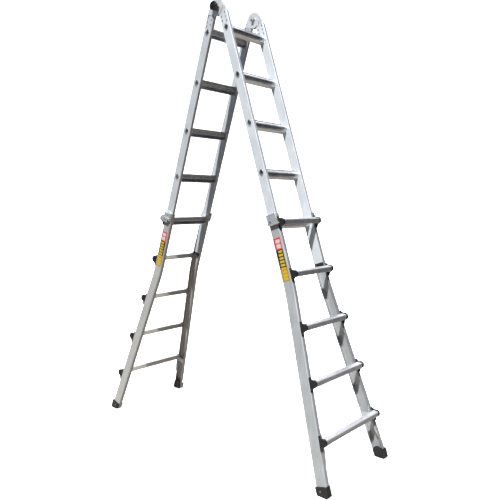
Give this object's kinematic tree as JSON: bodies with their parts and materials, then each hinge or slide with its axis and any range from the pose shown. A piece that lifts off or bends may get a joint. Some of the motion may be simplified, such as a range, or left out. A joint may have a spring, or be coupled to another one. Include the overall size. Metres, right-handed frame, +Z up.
{
  "type": "multi position ladder",
  "caption": "Folding telescopic ladder: two hinged legs with hollow swaged rungs, sliding flared outer sections, spring lock tabs, hinge lock knobs and rubber shoes.",
  "frame": {"origin": "on the floor under the hinge axis, midway between the shoes", "axes": "+X runs along the hinge axis and the rungs, the front leg stands towards -Y and the rear leg towards +Y, +Z is up"},
  "size_m": [0.6676, 1.8512, 2.7449],
  "materials": {
    "inner_rail": "satin extruded",
    "outer_rail": "satin extruded",
    "inner_rung": "satin extruded",
    "outer_rung": "satin extruded",
    "brace": "mill sheet",
    "black_plastic": "moulded, fine grain",
    "shoe": "matt",
    "knob": "semi-gloss",
    "hinge_steel": "zinc plated",
    "lock_steel": "zinc plated",
    "pin_steel": "turned",
    "spring_steel": "drawn wire",
    "rivet": "satin"
  },
  "bodies": {
    "inner_front": {"front_inner_rail_left": "inner_rail", "front_inner_rail_right": "inner_rail", "front_inner_rung_1": "inner_rung", "front_inner_rung_2": "inner_rung", "front_inner_rung_3": "inner_rung", "front_inner_rung_4": "inner_rung", "front_inner_rung_5": "inner_rung", "front_inner_end_caps": "black_plastic", "front_hinge_rivets": "rivet", "front_hinge_plates": "hinge_steel", "hinge_pivots": "pin_steel"},
    "inner_rear": {"rear_inner_rail_left": "inner_rail", "rear_inner_rail_right": "inner_rail", "rear_inner_rung_1": "inner_rung", "rear_inner_rung_2": "inner_rung", "rear_inner_rung_3": "inner_rung", "rear_inner_rung_4": "inner_rung", "rear_inner_rung_5": "inner_rung", "rear_inner_end_caps": "black_plastic", "rear_hinge_rivets": "rivet", "rear_hinge_plates": "hinge_steel", "hinge_springs": "spring_steel"},
    "outer_front": {"front_outer_rail_left": "outer_rail", "front_outer_rail_right": "outer_rail", "front_outer_rung_1": "outer_rung", "front_outer_rung_2": "outer_rung", "front_outer_rung_3": "outer_rung", "front_outer_rung_4": "outer_rung", "front_outer_rung_5": "outer_rung", "front_rung_brackets": "black_plastic", "front_rung_braces": "brace", "front_shoe_left": "shoe", "front_shoe_right": "shoe", "front_lock_boxes": "lock_steel", "front_lock_springs": "spring_steel"},
    "outer_rear": {"rear_outer_rail_left": "outer_rail", "rear_outer_rail_right": "outer_rail", "rear_outer_rung_1": "outer_rung", "rear_outer_rung_2": "outer_rung", "rear_outer_rung_3": "outer_rung", "rear_outer_rung_4": "outer_rung", "rear_outer_rung_5": "outer_rung", "rear_rung_brackets": "black_plastic", "rear_rung_braces": "brace", "rear_shoe_left": "shoe", "rear_shoe_right": "shoe", "rear_lock_boxes": "lock_steel", "rear_lock_springs": "spring_steel"},
    "front_lock_left": {"front_lock_tab_left": "lock_steel", "front_lock_pin_left": "pin_steel"},
    "front_lock_right": {"front_lock_tab_right": "lock_steel", "front_lock_pin_right": "pin_steel"},
    "rear_lock_left": {"rear_lock_tab_left": "lock_steel", "rear_lock_pin_left": "pin_steel"},
    "rear_lock_right": {"rear_lock_tab_right": "lock_steel", "rear_lock_pin_right": "pin_steel"},
    "knob_left": {"hinge_knob_left": "knob", "hinge_lock_left": "pin_steel"},
    "knob_right": {"hinge_knob_right": "knob", "hinge_lock_right": "pin_steel"}
  },
  "joints": [
    {"name": "hinge_fold", "type": "hinge", "parent": "inner_front", "child": "inner_rear", "pos_m": [0, 0, 2.69488], "axis": [1, 0, 0], "range_deg": [-34, 144.8]},
    {"name": "front_telescope", "type": "slide", "parent": "inner_front", "child": "outer_front", "axis": [0, 0.3024, 0.9532], "range_m": [0, 1.2192]},
    {"name": "rear_telescope", "type": "slide", "parent": "inner_rear", "child": "outer_rear", "axis": [0, -0.3024, 0.9532], "range_m": [0, 1.2192]},
    {"name": "front_lock_left_press", "type": "slide", "parent": "outer_front", "child": "front_lock_left", "axis": [1, 0, 0], "range_m": [0, 0.007]},
    {"name": "front_lock_right_press", "type": "slide", "parent": "outer_front", "child": "front_lock_right", "axis": [-1, 0, 0], "range_m": [0, 0.007]},
    {"name": "rear_lock_left_press", "type": "slide", "parent": "outer_rear", "child": "rear_lock_left", "axis": [1, 0, 0], "range_m": [0, 0.007]},
    {"name": "rear_lock_right_press", "type": "slide", "parent": "outer_rear", "child": "rear_lock_right", "axis": [-1, 0, 0], "range_m": [0, 0.007]},
    {"name": "knob_left_press", "type": "slide", "parent": "inner_rear", "child": "knob_left", "axis": [1, 0, 0], "range_m": [0, 0.0055]},
    {"name": "knob_right_press", "type": "slide", "parent": "inner_rear", "child": "knob_right", "axis": [-1, 0, 0], "range_m": [0, 0.0055]}
  ]
}
